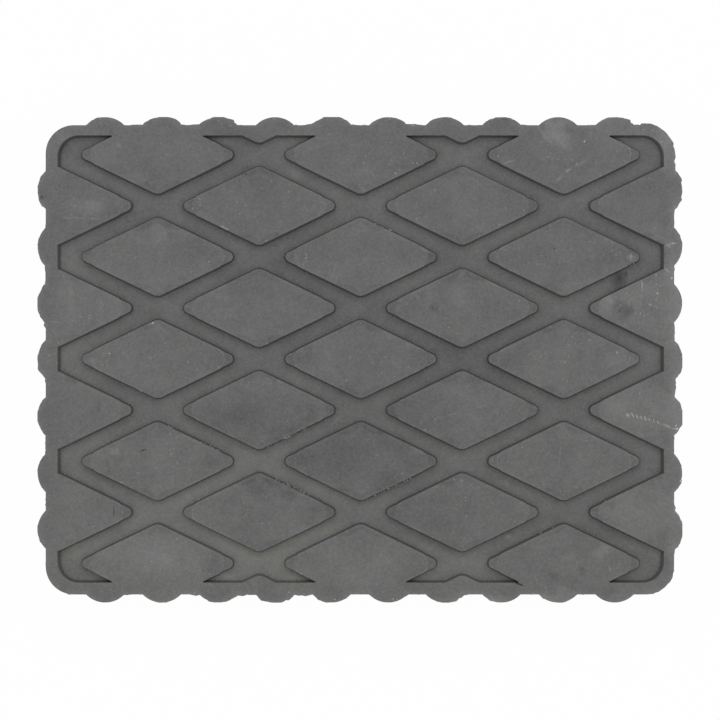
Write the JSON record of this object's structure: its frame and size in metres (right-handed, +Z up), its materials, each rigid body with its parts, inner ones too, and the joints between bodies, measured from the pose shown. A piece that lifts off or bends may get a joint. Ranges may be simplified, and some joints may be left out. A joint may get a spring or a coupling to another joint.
{
  "type": "car lift rubber pad",
  "caption": "Moulded rubber block with a raised diamond tread inside a narrow rim and rounded upright grip ribs round its sides, laid between a lift and a car's sill.",
  "frame": {"origin": "middle of the flat underside", "axes": "+X along the long sides, +Y along the short sides, +Z up through the tread face"},
  "size_m": [0.16, 0.1204, 0.025],
  "materials": {
    "rubber": "matt moulded black rubber, faded to dark grey, with dust specks and light scuffs"
  },
  "bodies": {
    "root": {"pad": "rubber"}
  },
  "joints": []
}
